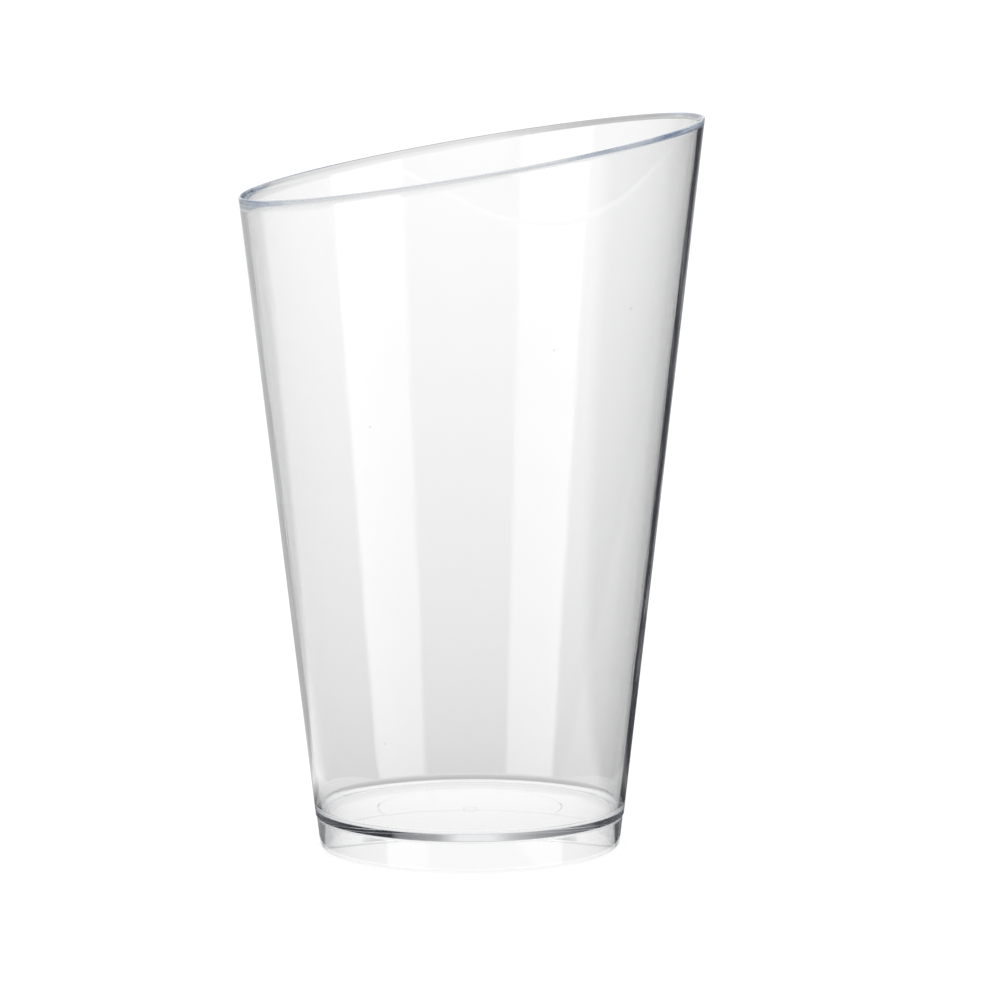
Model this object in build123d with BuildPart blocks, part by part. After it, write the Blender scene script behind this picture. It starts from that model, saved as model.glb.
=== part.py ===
"""A clear moulded dessert cup: one tapered wall with a slanted mouth, a flat floor and a hollow foot.

Millimetres and degrees, +Z up. The origin is the middle of the foot on the table. +X points to the high
side of the rim.
"""
import math
import os

from build123d import *

# Outside
foot_diameter = 39.7
wall_taper = 6.62
high_side = 96.0
rim_slant = 9.47

# Wall, floor and hollow foot
wall_thickness = 0.8
floor_thickness = 1.0
foot_hollow_depth = 4.0
foot_hollow_draft = 1.0
foot_ring_width = 0.85

# Fine step where the wall of the mould meets the block that forms the foot
witness_height = 4.2
witness_step = 0.12

# Lip: rounded on the outside, and thinned on the inside by a tall bevel
lip_rounding_share = 0.25
lip_bevel_share = 0.6
lip_bevel_height = 0.9

# Other softened edges
floor_corner_radius = 0.9
hollow_corner_bevel = 0.3
foot_edge_bevel = 0.35

# Marks left by the mould: a sunk disc in the floor, and the gate under its middle
insert_diameter = 24.4
insert_depth = 0.08
gate_diameter = 1.8
gate_height = 0.45
gate_bevel = 0.2

# Sizes that follow from the ones above
taper_slope = math.tan(math.radians(wall_taper))
rim_slope = math.tan(math.radians(rim_slant))
draft_slope = math.tan(math.radians(foot_hollow_draft))
cone_foot_radius = foot_diameter / 2
floor_level = foot_hollow_depth + floor_thickness
inner_floor_radius = cone_foot_radius + floor_level * taper_slope - wall_thickness
witness_radius = cone_foot_radius + witness_height * taper_slope
foot_radius = cone_foot_radius - witness_step
hollow_mouth_radius = foot_radius - foot_ring_width
hollow_roof_radius = hollow_mouth_radius - foot_hollow_depth * draft_slope
rim_tip_radius = cone_foot_radius + high_side * taper_slope
lip_radius = lip_rounding_share * wall_thickness
lip_bevel_width = lip_bevel_share * wall_thickness

# The wall is first turned a little taller than the rim, and the slanted cut takes off the rest
trim_margin = 2 * wall_thickness
blank_height = high_side + trim_margin
blank_radius = cone_foot_radius + blank_height * taper_slope

with BuildPart() as cup:
    # Half of the section, from the axis out along the underside, up the outside and back down the inside
    with BuildSketch(Plane.XZ) as section:
        with BuildLine():
            Polyline(
                (0, foot_hollow_depth),
                (hollow_roof_radius, foot_hollow_depth),
                (hollow_mouth_radius, 0),
                (foot_radius, 0),
                (witness_radius - witness_step, witness_height),
                (witness_radius, witness_height),
                (blank_radius, blank_height),
                (blank_radius - wall_thickness, blank_height),
                (inner_floor_radius, floor_level),
                (0, floor_level),
                close=True,
            )
        make_face()
        floor_corner = section.vertices().sort_by_distance((inner_floor_radius, floor_level))[0]
        fillet(floor_corner, radius=floor_corner_radius)
        foot_edge = section.vertices().sort_by_distance((foot_radius, 0))[0]
        chamfer(foot_edge, length=foot_edge_bevel)
        hollow_corner = section.vertices().sort_by_distance((hollow_roof_radius, foot_hollow_depth))[0]
        chamfer(hollow_corner, length=hollow_corner_bevel)
    revolve(axis=Axis.Z)

    # The mouth is cut on a slant through the highest point of the rim
    rim_plane = Plane(
        origin=(rim_tip_radius, 0, high_side),
        x_dir=(1, 0, rim_slope),
        z_dir=(-rim_slope, 0, 1),
    )
    split(bisect_by=rim_plane, keep=Keep.BOTTOM)

    # The lip runs round the slanted mouth: a tall bevel inside, then a rounding on the outside
    rim_face = cup.faces().filter_by(rim_plane).sort_by_distance(rim_plane.origin)[0]
    inner_rim = rim_face.edges().sort_by(SortBy.LENGTH)[0]
    chamfer(inner_rim, length=lip_bevel_width, length2=lip_bevel_height, reference=rim_face)
    land_face = cup.faces().filter_by(rim_plane).sort_by_distance(rim_plane.origin)[0]
    outer_rim = land_face.edges().sort_by(SortBy.LENGTH)[-1]
    fillet(outer_rim, radius=lip_radius)

    # Shallow round sink that the floor insert leaves
    with BuildSketch(Plane.XY.offset(floor_level)):
        Circle(insert_diameter / 2)
    extrude(amount=-insert_depth, mode=Mode.SUBTRACT)

    # Stub of the gate, which hangs in the hollow of the foot and stays clear of the table
    with BuildSketch(Plane.XY.offset(foot_hollow_depth)):
        Circle(gate_diameter / 2)
    extrude(amount=-gate_height)
    gate_end = cup.faces().filter_by(Plane.XY).sort_by_distance((0, 0, foot_hollow_depth - gate_height))[0]
    chamfer(gate_end.edges(), length=gate_bevel)

cup.part.label = "cup"
os.makedirs("parts", exist_ok=True)
export_step(cup.part, "parts/cup.step")
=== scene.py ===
"""A clear moulded dessert cup on a pale floor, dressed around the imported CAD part.

Metres, +Z up. The origin is the middle of the foot. +X points to the high side of the rim, and the camera
looks along +Y.
"""
import math

import bpy
from mathutils import Matrix, Vector


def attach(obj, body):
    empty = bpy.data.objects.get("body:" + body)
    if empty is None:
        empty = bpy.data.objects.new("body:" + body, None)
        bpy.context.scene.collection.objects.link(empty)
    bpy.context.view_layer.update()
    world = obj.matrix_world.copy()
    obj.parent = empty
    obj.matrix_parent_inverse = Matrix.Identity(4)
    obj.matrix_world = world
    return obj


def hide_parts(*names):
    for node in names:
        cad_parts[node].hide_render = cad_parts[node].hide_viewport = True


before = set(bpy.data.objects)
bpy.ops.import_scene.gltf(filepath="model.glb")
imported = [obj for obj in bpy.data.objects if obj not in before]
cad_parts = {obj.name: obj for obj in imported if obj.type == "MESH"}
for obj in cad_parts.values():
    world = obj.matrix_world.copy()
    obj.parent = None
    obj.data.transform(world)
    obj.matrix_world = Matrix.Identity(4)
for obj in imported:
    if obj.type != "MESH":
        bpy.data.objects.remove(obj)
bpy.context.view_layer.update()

MM = 0.001

# The cup's section, with the sizes of the CAD part
cone_foot_radius = 19.85 * MM
wall_taper = math.radians(6.62)
wall_thickness = 0.8 * MM
high_side = 96.0 * MM
rim_slant = math.radians(9.47)
foot_hollow_depth = 4.0 * MM
foot_ring_width = 0.85 * MM
hollow_draft = math.radians(1.0)
floor_thickness = 1.0 * MM
witness_height = 4.2 * MM
witness_step = 0.12 * MM
insert_radius = 12.2 * MM
insert_depth = 0.08 * MM
groove_side = 0.1 * MM
groove_depth = 0.03 * MM
gate_radius = 0.9 * MM
gate_height = 0.45 * MM

# Lip, with the sizes on its low and its high side: rounded outside, and bevelled on the inside
lip_rounding = (0.24 * MM, 0.28 * MM)
bevel_width = 0.48 * MM
bevel_height = (1.04 * MM, 0.52 * MM)
bevel_rounding_above = (0.5 * MM, 0.2 * MM)
bevel_rounding_below = (0.8 * MM, 0.2 * MM)

# How far from each corner its rounding starts
lip_edge_rounding = 0.04 * MM
floor_corner_rounding = 0.8 * MM
foot_edge_rounding = 0.35 * MM
hollow_corner_rounding = 0.3 * MM
ring_edge_rounding = 0.05 * MM
gate_rounding = 0.2 * MM
fine_rounding = 0.03 * MM

# Fineness of its mesh
turn_steps = 480
arc_steps = 8
row_height = 5.0 * MM

# Sizes that follow from those
taper_slope = math.tan(wall_taper)
rim_slope = math.tan(rim_slant)
floor_level = foot_hollow_depth + floor_thickness
high_tip_radius = cone_foot_radius + taper_slope * high_side
rim_mid_height = high_side - rim_slope * high_tip_radius
foot_radius = cone_foot_radius - witness_step
hollow_mouth_radius = foot_radius - foot_ring_width
hollow_roof_radius = hollow_mouth_radius - foot_hollow_depth * math.tan(hollow_draft)


def cone_point(start_radius, height):
    """A point of a wall that has this radius at the table, as radius and height."""
    return start_radius + taper_slope * height, height


def rim_point(start_radius, angle):
    """Where the slanted rim plane cuts that wall at this angle round the cup."""
    slope = rim_slope * math.cos(angle)
    height = (rim_mid_height + slope * start_radius) / (1 - slope * taper_slope)
    return cone_point(start_radius, height)


def by_side(sizes, angle):
    """A size that goes evenly from the low side's to the high side's."""
    low, high = sizes
    return low + (high - low) * (1 + math.cos(angle)) / 2


def section_corners(angle):
    """The corners of the section at this angle, from under the gate round to the floor's middle.

    Each is a point (radius, height) and how far before and after it the rounding reaches.
    """
    inner_start = cone_foot_radius - wall_thickness
    bevel_foot = rim_point(inner_start, angle)[1] - by_side(bevel_height, angle)
    bevel_reach = (by_side(bevel_rounding_above, angle), by_side(bevel_rounding_below, angle))
    lip_reach = by_side(lip_rounding, angle)
    insert_level = floor_level - insert_depth
    groove_level = insert_level - groove_depth
    return [
        ((0, foot_hollow_depth - gate_height), 0, 0),
        ((gate_radius, foot_hollow_depth - gate_height), gate_rounding, gate_rounding),
        ((gate_radius, foot_hollow_depth), fine_rounding, fine_rounding),
        ((hollow_roof_radius, foot_hollow_depth), hollow_corner_rounding, hollow_corner_rounding),
        ((hollow_mouth_radius, 0), ring_edge_rounding, ring_edge_rounding),
        ((foot_radius, 0), foot_edge_rounding, foot_edge_rounding),
        (cone_point(foot_radius, witness_height), fine_rounding, fine_rounding),
        (cone_point(cone_foot_radius, witness_height), fine_rounding, fine_rounding),
        (rim_point(cone_foot_radius, angle), lip_reach, lip_reach),
        (rim_point(inner_start + bevel_width, angle), lip_edge_rounding, lip_edge_rounding),
        (cone_point(inner_start, bevel_foot), *bevel_reach),
        (cone_point(inner_start, floor_level), floor_corner_rounding, floor_corner_rounding),
        ((insert_radius, floor_level), fine_rounding, fine_rounding),
        ((insert_radius - groove_side, groove_level), fine_rounding, fine_rounding),
        ((insert_radius - 2 * groove_side, insert_level), fine_rounding, fine_rounding),
        ((0, insert_level), 0, 0),
    ]


def rounded_section(angle, rows):
    """Points of the section with its corners rounded, and the section's direction at each of them.

    rows gives the number of steps on each straight stretch.
    """
    corners = section_corners(angle)
    places = [Vector(corner[0]) for corner in corners]
    points = []
    stretch_start = places[0]
    for index in range(1, len(corners)):
        corner = places[index]
        reach_in, reach_out = corners[index][1:]
        into = (corner - places[index - 1]).normalized()
        stretch_end = corner - into * reach_in
        for step in range(rows[index - 1]):
            points.append((stretch_start.lerp(stretch_end, step / rows[index - 1]), into))
        if index == len(corners) - 1:
            points.append((stretch_end, into))
            break
        out = (places[index + 1] - corner).normalized()
        for step in range(arc_steps):
            part = math.pi / 2 * step / arc_steps
            before = into * reach_in
            after = out * reach_out
            place = corner - before * (1 - math.sin(part)) + after * (1 - math.cos(part))
            points.append((place, (before * math.cos(part) + after * math.sin(part)).normalized()))
        stretch_start = corner + out * reach_out
    return points


def straight_rows():
    """Steps on each straight stretch, from its length at the high side."""
    places = [Vector(corner[0]) for corner in section_corners(0)]
    lengths = [(b - a).length for a, b in zip(places, places[1:])]
    return [max(1, round(length / row_height)) for length in lengths]


def turned(outward, flat):
    """A point or a direction of the section, set in space at one angle round the cup."""
    return outward * flat.x + Vector((0, 0, flat.y))


def build_cup():
    """The cup as one closed mesh, turned from its section, with true surface directions at its points."""
    rows = straight_rows()
    step_angle = 2 * math.pi / turn_steps
    angles = [turn * step_angle for turn in range(turn_steps)]
    outwards = [Vector((math.cos(angle), math.sin(angle), 0)) for angle in angles]
    columns = [rounded_section(angle, rows) for angle in angles]
    places = [
        [turned(outward, point) for point, along in column[1:-1]]
        for outward, column in zip(outwards, columns)
    ]
    ring_count = len(places[0])
    # The two points on the axis come first, then each turn's points
    verts = [Vector((0, 0, columns[0][0][0].y)), Vector((0, 0, columns[0][-1][0].y))]
    normals = [Vector((0, 0, -1)), Vector((0, 0, 1))]
    first = len(verts)
    for turn, (outward, column) in enumerate(zip(outwards, columns)):
        for ring in range(ring_count):
            along = turned(outward, column[ring + 1][1])
            around = places[(turn + 1) % turn_steps][ring] - places[turn - 1][ring]
            verts.append(places[turn][ring])
            normals.append(around.cross(along).normalized())
    faces = []
    for turn in range(turn_steps):
        here = first + turn * ring_count
        beside = first + (turn + 1) % turn_steps * ring_count
        faces.append((0, beside, here))
        for ring in range(ring_count - 1):
            faces.append((here + ring, beside + ring, beside + ring + 1, here + ring + 1))
        faces.append((1, here + ring_count - 1, beside + ring_count - 1))
    mesh = bpy.data.meshes.new("dessert_cup")
    mesh.from_pydata(verts, [], faces)
    mesh.shade_smooth()
    mesh.normals_split_custom_set_from_vertices(normals)
    cup = bpy.data.objects.new("dessert_cup", mesh)
    bpy.context.scene.collection.objects.link(cup)
    return cup


def node(tree, kind, inputs=None, **settings):
    """A new shader node. Its inputs are numbers or colours, or sockets to link from."""
    made = tree.nodes.new("ShaderNode" + kind)
    for name, value in settings.items():
        setattr(made, name, value)
    for key, value in (inputs or {}).items():
        if isinstance(value, bpy.types.NodeSocket):
            tree.links.new(value, made.inputs[key])
        else:
            made.inputs[key].default_value = value
    return made


def math_node(tree, operation, first, second=0.0):
    """The result of one sum on numbers or sockets."""
    return node(tree, "Math", {0: first, 1: second}, operation=operation).outputs[0]


# The plastic: slow waves all over it, fine upright streaks on the wall only, haze and specks of dust
wave_scale = 70.0
wave_depth = 0.03 * MM
streak_scale = 500.0
streak_depth = 0.008 * MM
streak_stretch = (1.0, 1.0, 0.02)
streak_start = 6 * MM
streak_full = 9 * MM
haze_scale = 220.0
smooth_roughness = 0.006
hazy_roughness = 0.03
speck_scale = 100.0
speck_core = 0.008
speck_edge = 0.02
speck_colour = (0.5, 0.48, 0.45, 1.0)
white = (1.0, 1.0, 1.0, 1.0)
refraction = 1.59
tint_colour = (0.29, 0.47, 0.71, 1.0)
tint_density = 1.2


def clear_plastic():
    """Clear polystyrene: glossy, faintly blue in its edges, with flow waves, streaks, haze and dust."""
    material = bpy.data.materials.new("clear_plastic")
    material.use_nodes = True
    tree = material.node_tree
    tree.nodes.clear()
    place = node(tree, "TexCoord").outputs["Object"]
    waves = node(tree, "TexNoise", {"Vector": place, "Scale": wave_scale, "Detail": 1.0})
    wave_bump = node(tree, "Bump", {"Height": waves.outputs["Fac"], "Distance": wave_depth})
    upright = node(tree, "VectorMath", {0: place, 1: streak_stretch}, operation="MULTIPLY")
    streaks = node(tree, "TexNoise", {
        "Vector": upright.outputs["Vector"], "Scale": streak_scale, "Detail": 2.0})
    height = node(tree, "SeparateXYZ", {"Vector": place}).outputs["Z"]
    on_wall = node(tree, "MapRange", {"Value": height, "From Min": streak_start, "From Max": streak_full})
    streak_bump = node(tree, "Bump", {
        "Height": streaks.outputs["Fac"], "Distance": streak_depth, "Strength": on_wall.outputs["Result"],
        "Normal": wave_bump.outputs["Normal"]})
    haze = node(tree, "TexNoise", {"Vector": place, "Scale": haze_scale, "Detail": 5.0, "Roughness": 0.6})
    roughness = node(tree, "MapRange", {
        "Value": haze.outputs["Fac"], "From Min": 0.35, "From Max": 0.75, "To Min": smooth_roughness,
        "To Max": hazy_roughness})
    dust = node(tree, "TexVoronoi", {"Vector": place, "Scale": speck_scale, "Randomness": 1.0})
    specks = node(tree, "MapRange", {
        "Value": dust.outputs["Distance"], "From Min": speck_core, "From Max": speck_edge})
    colour = node(tree, "Mix", {"Factor": specks.outputs["Result"], "A": speck_colour, "B": white},
                  data_type="RGBA")
    plastic = node(tree, "BsdfPrincipled", {
        "Base Color": colour.outputs["Result"], "Roughness": roughness.outputs["Result"], "IOR": refraction,
        "Transmission Weight": 1.0, "Normal": streak_bump.outputs["Normal"]})
    tint = node(tree, "VolumeAbsorption", {"Color": tint_colour, "Density": tint_density})
    out = node(tree, "OutputMaterial")
    tree.links.new(plastic.outputs["BSDF"], out.inputs["Surface"])
    tree.links.new(tint.outputs["Volume"], out.inputs["Volume"])
    return material


# How bright the studio is that the plastic mirrors, by compass direction in degrees: 0 is straight behind
# the cup and 90 is its high side
room = 0.2
softbox = 1.8
flag = 0.006
soft_grey = 0.25
studio_round = [
    (-180, room), (-153, room), (-150, softbox), (-114, softbox), (-111, flag), (-42, flag),
    (-37, soft_grey), (-24, soft_grey), (-9, 1.0), (4, 1.0), (12, soft_grey), (20, soft_grey),
    (23, flag), (102, flag), (105, softbox), (144, softbox), (147, room), (180, room),
]
sky_light = 1.3
sky_through_cup = 1.06
mirrored_sky = 1.0
flag_top = math.sin(math.radians(8))
flag_fade = math.sin(math.radians(11))
side_flag_extra = math.sin(math.radians(6))
side_flag_start = math.sin(math.radians(22))
side_flag_full = math.sin(math.radians(30))
softbox_full = math.sin(math.radians(1.2))
softbox_half = math.sin(math.radians(6))

# The floor that the plastic mirrors, the same way round, as painted reflection: painted shade makes it dark
# close to the cup
floor_round = [
    (-180, 0.95), (-62, 0.95), (-54, 0.5), (-16, 0.5), (-12, 1.0), (8, 1.0), (11, soft_grey),
    (16, soft_grey), (20, 0.05), (58, 0.05), (64, 0.16), (108, 0.16), (118, 0.95), (180, 0.95),
]
floor_pivot = (0, 20 * MM, 0)
dark_ring_end = 34 * MM
open_floor_start = 50 * MM
twice_through = 0.35
# Painted light on the floor under the cup, for mirrored rays
under_cup = 0.85
under_foot_end = 21 * MM
under_back_end = 60 * MM

# The same two for light that has bounced about inside the floor of the cup; on the floor it is painted
# reflection.
# Light that has run further along inside the wall meets an even grey.
inner_round = [
    (-180, 0.3), (-100, 0.3), (-80, 0.05), (-60, 0.03), (-46, 0.03), (-39, 0.12), (-30, 0.24),
    (-20, 0.34), (-12, 0.55), (-6, 0.9), (3, 0.9), (9, 0.4), (15, 0.3), (22, 0.2), (23.5, 0.005),
    (42, 0.005), (60, 0.08), (80, 0.05), (100, 0.3), (180, 0.3),
]
inner_floor_round = [
    (-180, 0.85), (-100, 0.85), (-80, 0.05), (-60, 0.01), (-46, 0.01), (-41, 0.14), (-28, 0.16),
    (-14, 0.42), (0, 0.48), (8, 0.3), (12, 0.2), (15, 0.06), (19, 0.005), (42, 0.005), (52, 0.03),
    (80, 0.05), (100, 0.85), (180, 0.85),
]
inner_top = math.sin(math.radians(21))
inner_fade = math.sin(math.radians(31))
inner_front = 25 * MM
inner_near = 45 * MM
near_light = 1.0
piped_bounces = 8
piped_light = 0.72

# The floor: plain and pale to the eye; through the cup it is painted light, bright under the foot, with
# painted shade that dims it close around it
floor_reach = 2.4
floor_sides = 96
floor_drop = 0.05 * MM
floor_colour = (0.2, 0.2, 0.2, 1.0)
floor_glow = 0.86
foot_glow = 1.0
hollow_reach = 19.5 * MM
slab_reach = 25 * MM
glow_fade = 3 * MM
around_start = 40 * MM
around_glow = 0.668
glow_growth = 0.125
corner_shade = 0.65
corner_shade_reach = (25 * MM, 38 * MM)

# How bright the floor's painted light is where the back of the rim bends the view down to it, by distance
# from the cup in mm. It is painted dimmer to the right.
rim_glow = [
    (165, 0.4), (195, 0.55), (215, 0.7), (250, 0.78), (300, 0.83), (400, 0.88), (500, 0.91), (620, 0.98),
]
rim_glow_start = 100 * MM
rim_glow_end = 700 * MM
rim_side = (15 * MM, 28 * MM)
rim_side_glow = 0.62
rim_side_end = (430 * MM, 520 * MM)

# How many surfaces a ray has gone in or out through: two make one wall, four make two walls, and six go
# through the cup's floor as well
past_one_wall = 2.5
past_two_walls = 3.5
past_cup_floor = 5.0

# What a dark grey has more of in red, green and blue
cool_tint = (0.0, 0.002, 0.01)


def grey(level):
    """A grey, a little cooler where it is dark."""
    red, green, blue = (level + tint * max(0.0, 1 - level) for tint in cool_tint)
    return red, green, blue, 1.0


def light_ramp(tree, value, stops):
    """A grey that runs through these stops, each a value and a level."""
    first, last = stops[0][0], stops[-1][0]
    share = node(tree, "MapRange", {"Value": value, "From Min": first, "From Max": last})
    ramp = node(tree, "ValToRGB", {"Fac": share.outputs["Result"]})
    elements = ramp.color_ramp.elements
    while len(elements) < len(stops):
        elements.new(0.5)
    for element, (place, level) in zip(elements, stops):
        element.position = (place - first) / (last - first)
        element.color = grey(level)
    return ramp.outputs["Color"]


def round_ramp(tree, direction, stops):
    """A grey by the compass direction of a place or a ray."""
    parts = node(tree, "SeparateXYZ", {"Vector": direction})
    angle = math_node(tree, "ARCTAN2", parts.outputs["X"], parts.outputs["Y"])
    return light_ramp(tree, math_node(tree, "DEGREES", angle), stops)


def bounces_over(tree, count):
    """1 for a ray that surfaces have mirrored more often than this, and 0 for the others."""
    return math_node(tree, "GREATER_THAN", node(tree, "LightPath").outputs["Glossy Depth"], count + 0.5)


def passed_twice(tree):
    """1 for a ray that has gone right through the plastic twice, and 0 for the others."""
    passes = node(tree, "LightPath").outputs["Transmission Depth"]
    return math_node(tree, "GREATER_THAN", passes, past_two_walls)


def light_studio():
    """Even pale light all round, with dark flags and two tall softboxes that only the plastic mirrors."""
    world = bpy.data.worlds.new("studio")
    world.use_nodes = True
    bpy.context.scene.world = world
    tree = world.node_tree
    tree.nodes.clear()
    ray = node(tree, "TexCoord").outputs["Generated"]
    direction = node(tree, "SeparateXYZ", {"Vector": ray})
    height = direction.outputs["Z"]
    sideways = math_node(tree, "ABSOLUTE", direction.outputs["X"])
    raised = node(tree, "MapRange", {
        "Value": sideways, "From Min": side_flag_start, "From Max": side_flag_full,
        "To Min": 0.0, "To Max": side_flag_extra})
    flag_height = math_node(tree, "SUBTRACT", height, raised.outputs["Result"])
    over_flags = node(tree, "MapRange", {"Value": flag_height, "From Min": flag_top, "From Max": flag_fade})
    over_inner = node(tree, "MapRange", {"Value": height, "From Min": inner_top, "From Max": inner_fade})
    dimming = node(tree, "MapRange", {
        "Value": height, "From Min": softbox_full, "From Max": softbox_half, "To Min": 1.0, "To Max": 0.5})
    behind_cup = math_node(tree, "GREATER_THAN", direction.outputs["Y"], 0.0)
    strength = math_node(tree, "MAXIMUM", dimming.outputs["Result"], behind_cup)
    round_light = node(tree, "Background", {
        "Color": round_ramp(tree, ray, studio_round), "Strength": strength})
    top_light = node(tree, "Background", {"Color": white, "Strength": mirrored_sky})
    once = node(tree, "MixShader", {
        0: over_flags.outputs["Result"], 1: round_light.outputs[0], 2: top_light.outputs[0]})
    inner_light = node(tree, "Background", {"Color": round_ramp(tree, ray, inner_round)})
    over_inner_or_twice = math_node(tree, "MAXIMUM", over_inner.outputs["Result"], passed_twice(tree))
    often = node(tree, "MixShader", {
        0: over_inner_or_twice, 1: inner_light.outputs[0], 2: top_light.outputs[0]})
    studio = node(tree, "MixShader", {0: bounces_over(tree, 1), 1: once.outputs[0], 2: often.outputs[0]})
    piped = node(tree, "Background", {"Color": grey(piped_light)})
    bounced = node(tree, "MixShader", {
        0: bounces_over(tree, piped_bounces), 1: studio.outputs[0], 2: piped.outputs[0]})
    seen = node(tree, "LightPath").outputs["Is Camera Ray"]
    sky = node(tree, "Mix", {"Factor": seen, "A": sky_through_cup, "B": sky_light})
    pale = node(tree, "Background", {"Color": white, "Strength": sky.outputs["Result"]})
    mixed = node(tree, "MixShader", {0: bounces_over(tree, 0), 1: pale.outputs[0], 2: bounced.outputs[0]})
    world.cycles.sampling_method = "NONE"
    out = node(tree, "OutputWorld")
    tree.links.new(mixed.outputs[0], out.inputs["Surface"])


def floor_through_cup(tree, place, reach):
    """The floor's painted light and shade for rays that the cup has only let through.

    It is painted bright under the foot and painted dim in a ring close round it, grows with the logarithm
    of the distance beyond it, and follows rim_glow where the back of the rim bends the view down.
    """
    share = math_node(tree, "DIVIDE", reach, around_start)
    growth = math_node(tree, "MULTIPLY", math_node(tree, "LOGARITHM", share, math.e), glow_growth)
    glow = math_node(tree, "MINIMUM", math_node(tree, "ADD", growth, around_glow), sky_through_cup)
    # Painted shade on the floor in a ring close round the foot
    corner = node(tree, "MapRange", {
        "Value": reach, "From Min": corner_shade_reach[0], "From Max": corner_shade_reach[1],
        "To Min": corner_shade, "To Max": 1.0})
    around = math_node(tree, "MULTIPLY", glow, corner.outputs["Result"])
    passes = node(tree, "LightPath").outputs["Transmission Depth"]
    through_slab = math_node(tree, "GREATER_THAN", passes, past_cup_floor)
    foot_end = math_node(tree, "ADD", math_node(tree, "MULTIPLY", through_slab, slab_reach), hollow_reach)
    beyond_foot = node(tree, "MapRange", {
        "Value": math_node(tree, "SUBTRACT", reach, foot_end), "From Min": 0.0, "From Max": glow_fade})
    through = node(tree, "Mix", {"Factor": beyond_foot.outputs["Result"], "A": foot_glow, "B": around})
    side = node(tree, "SeparateXYZ", {"Vector": place}).outputs["X"]
    right_side = node(tree, "MapRange", {"Value": side, "From Min": rim_side[0], "From Max": rim_side[1]})
    side_reach = node(tree, "MapRange", {
        "Value": reach, "From Min": rim_side_end[1], "From Max": rim_side_end[0]})
    side_share = math_node(tree, "MULTIPLY", right_side.outputs["Result"], side_reach.outputs["Result"])
    side_glow = node(tree, "Mix", {"Factor": side_share, "A": 1.0, "B": rim_side_glow})
    millimetres = math_node(tree, "DIVIDE", reach, MM)
    rim_ramp = light_ramp(tree, millimetres, rim_glow)
    rim_light = math_node(tree, "MULTIPLY", rim_ramp, side_glow.outputs["Result"])
    one_wall = math_node(tree, "LESS_THAN", passes, past_one_wall)
    near = math_node(tree, "LESS_THAN", reach, rim_glow_end)
    clear_of_foot = math_node(tree, "GREATER_THAN", reach, rim_glow_start)
    bent = math_node(tree, "MULTIPLY", one_wall, math_node(tree, "MULTIPLY", near, clear_of_foot))
    strength = node(tree, "Mix", {"Factor": bent, "A": through.outputs["Result"], "B": rim_light})
    return node(tree, "Emission", {"Color": white, "Strength": strength.outputs["Result"]})


def mirrored_floor(tree, place, reach):
    """The floor's painted reflection for rays that some surface has mirrored, with painted light under the
    cup.
    """
    from_back = node(tree, "VectorMath", {0: place, 1: floor_pivot}, operation="SUBTRACT")
    # Painted shade: the mirrored floor is dark in a ring close to the cup
    open_floor = node(tree, "MapRange", {
        "Value": reach, "From Min": dark_ring_end, "From Max": open_floor_start})
    depth = node(tree, "SeparateXYZ", {"Vector": place}).outputs["Y"]
    twice = passed_twice(tree)
    dimming = node(tree, "Mix", {"Factor": twice, "A": 1.0, "B": twice_through})
    strength = math_node(tree, "MULTIPLY", open_floor.outputs["Result"], dimming.outputs["Result"])
    around = node(tree, "Emission", {
        "Color": round_ramp(tree, from_back.outputs["Vector"], floor_round), "Strength": strength})
    # Painted light on the floor under the cup
    under = node(tree, "Emission", {"Color": grey(under_cup)})
    under_foot = math_node(tree, "LESS_THAN", reach, under_foot_end)
    close_behind = math_node(tree, "MULTIPLY", math_node(tree, "GREATER_THAN", depth, 0.0),
                             math_node(tree, "LESS_THAN", reach, under_back_end))
    through_slab = math_node(tree, "MULTIPLY", twice, close_behind)
    lit = math_node(tree, "MAXIMUM", under_foot, through_slab)
    once = node(tree, "MixShader", {0: lit, 1: around.outputs[0], 2: under.outputs[0]})
    inner = node(tree, "Emission", {"Color": round_ramp(tree, place, inner_floor_round)})
    close = node(tree, "Emission", {"Color": grey(near_light)})
    near = math_node(tree, "MULTIPLY", math_node(tree, "LESS_THAN", depth, inner_front),
                     math_node(tree, "LESS_THAN", reach, inner_near))
    bright = math_node(tree, "MAXIMUM", near, twice)
    often = node(tree, "MixShader", {0: bright, 1: inner.outputs[0], 2: close.outputs[0]})
    bounced = node(tree, "MixShader", {0: bounces_over(tree, 1), 1: once.outputs[0], 2: often.outputs[0]})
    piped = node(tree, "Emission", {"Color": grey(piped_light)})
    return node(tree, "MixShader", {
        0: bounces_over(tree, piped_bounces), 1: bounced.outputs[0], 2: piped.outputs[0]})


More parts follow.
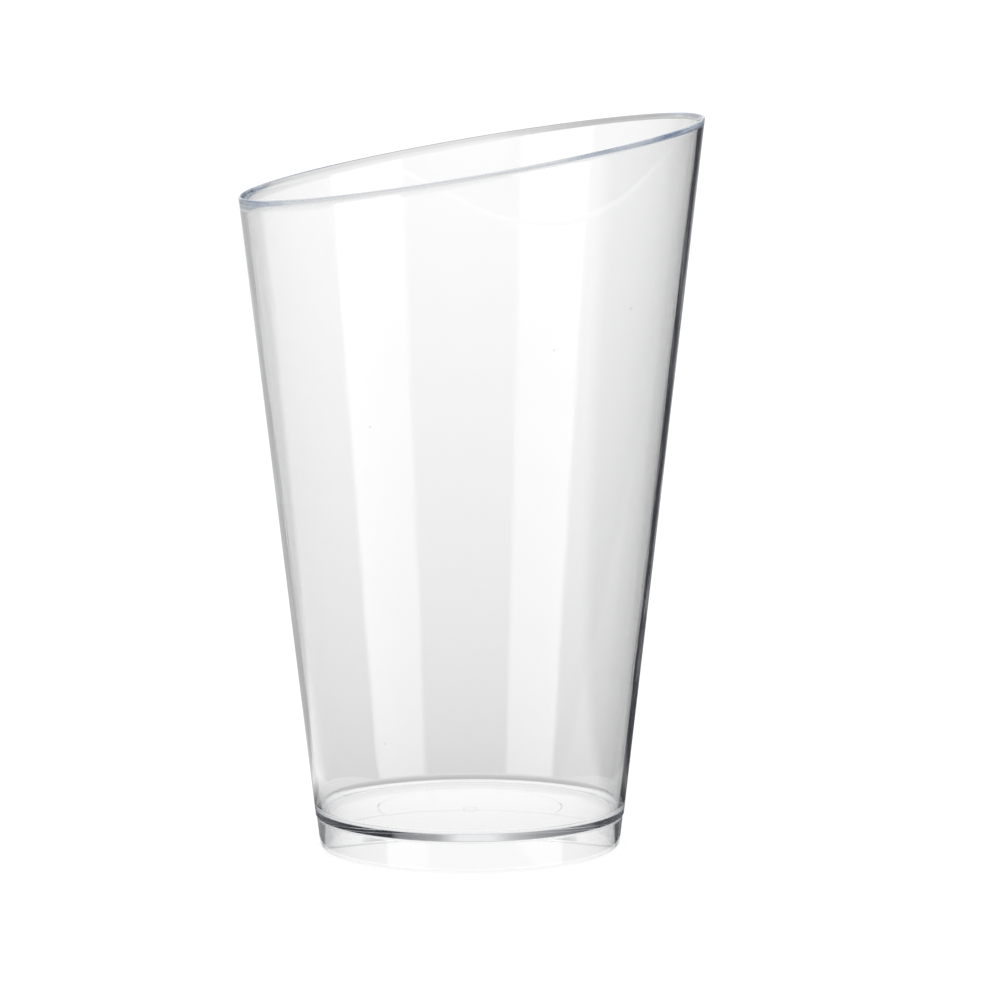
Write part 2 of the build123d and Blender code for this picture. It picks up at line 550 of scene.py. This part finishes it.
def pale_floor():
    """A plain pale floor, with painted light and shade for what the cup lets through and painted reflection
    for what it mirrors.
    """
    bpy.ops.mesh.primitive_circle_add(vertices=floor_sides, radius=floor_reach, fill_type="NGON")
    floor = bpy.context.object
    floor.name = "floor"
    floor.location.z = -floor_drop
    material = bpy.data.materials.new("pale_floor")
    material.use_nodes = True
    tree = material.node_tree
    tree.nodes.clear()
    place = node(tree, "NewGeometry").outputs["Position"]
    reach = node(tree, "VectorMath", {0: place}, operation="LENGTH").outputs["Value"]
    glow = node(tree, "Emission", {"Color": white, "Strength": floor_glow})
    matt = node(tree, "BsdfDiffuse", {"Color": floor_colour})
    plain = node(tree, "AddShader", {0: matt.outputs[0], 1: glow.outputs[0]})
    behind = floor_through_cup(tree, place, reach)
    seen = node(tree, "LightPath").outputs["Is Camera Ray"]
    pale = node(tree, "MixShader", {0: seen, 1: behind.outputs[0], 2: plain.outputs[0]})
    mirrored = mirrored_floor(tree, place, reach)
    mixed = node(tree, "MixShader", {0: bounces_over(tree, 0), 1: pale.outputs[0], 2: mirrored.outputs[0]})
    out = node(tree, "OutputMaterial")
    tree.links.new(mixed.outputs[0], out.inputs["Surface"])
    material.cycles.emission_sampling = "NONE"
    floor.data.materials.append(material)


# The camera: far away, a little above the rim, with a long lens
camera_place = Vector((0, -787.07, 156.78)) * MM
camera_yaw = 0.00525
camera_pitch = -0.14018
camera_roll = -0.00382
camera_lens = 218.30
sensor_width = 36.0


def add_camera():
    """The photograph's camera."""
    data = bpy.data.cameras.new("camera")
    data.lens = camera_lens
    data.sensor_width = sensor_width
    camera = bpy.data.objects.new("camera", data)
    bpy.context.scene.collection.objects.link(camera)
    flat = math.cos(camera_pitch)
    forward = Vector((math.sin(camera_yaw) * flat, math.cos(camera_yaw) * flat, math.sin(camera_pitch)))
    level = forward.cross(Vector((0, 0, 1))).normalized()
    upright = level.cross(forward)
    right = level * math.cos(camera_roll) + upright * math.sin(camera_roll)
    up = upright * math.cos(camera_roll) - level * math.sin(camera_roll)
    turn = Matrix((right, up, -forward)).transposed()
    camera.matrix_world = Matrix.Translation(camera_place) @ turn.to_4x4()
    bpy.context.scene.camera = camera


def set_light_paths():
    """Enough bounces for light that runs along inside the wall, and plain colours."""
    scene = bpy.context.scene
    scene.cycles.max_bounces = 1000
    scene.cycles.diffuse_bounces = 1
    scene.cycles.glossy_bounces = 1000
    scene.cycles.transmission_bounces = 400
    scene.view_settings.view_transform = "Standard"


cup = build_cup()
cup.data.materials.append(clear_plastic())
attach(cup, "root")
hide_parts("cup")
light_studio()
pale_floor()
add_camera()
set_light_paths()

bpy.context.view_layer.update()
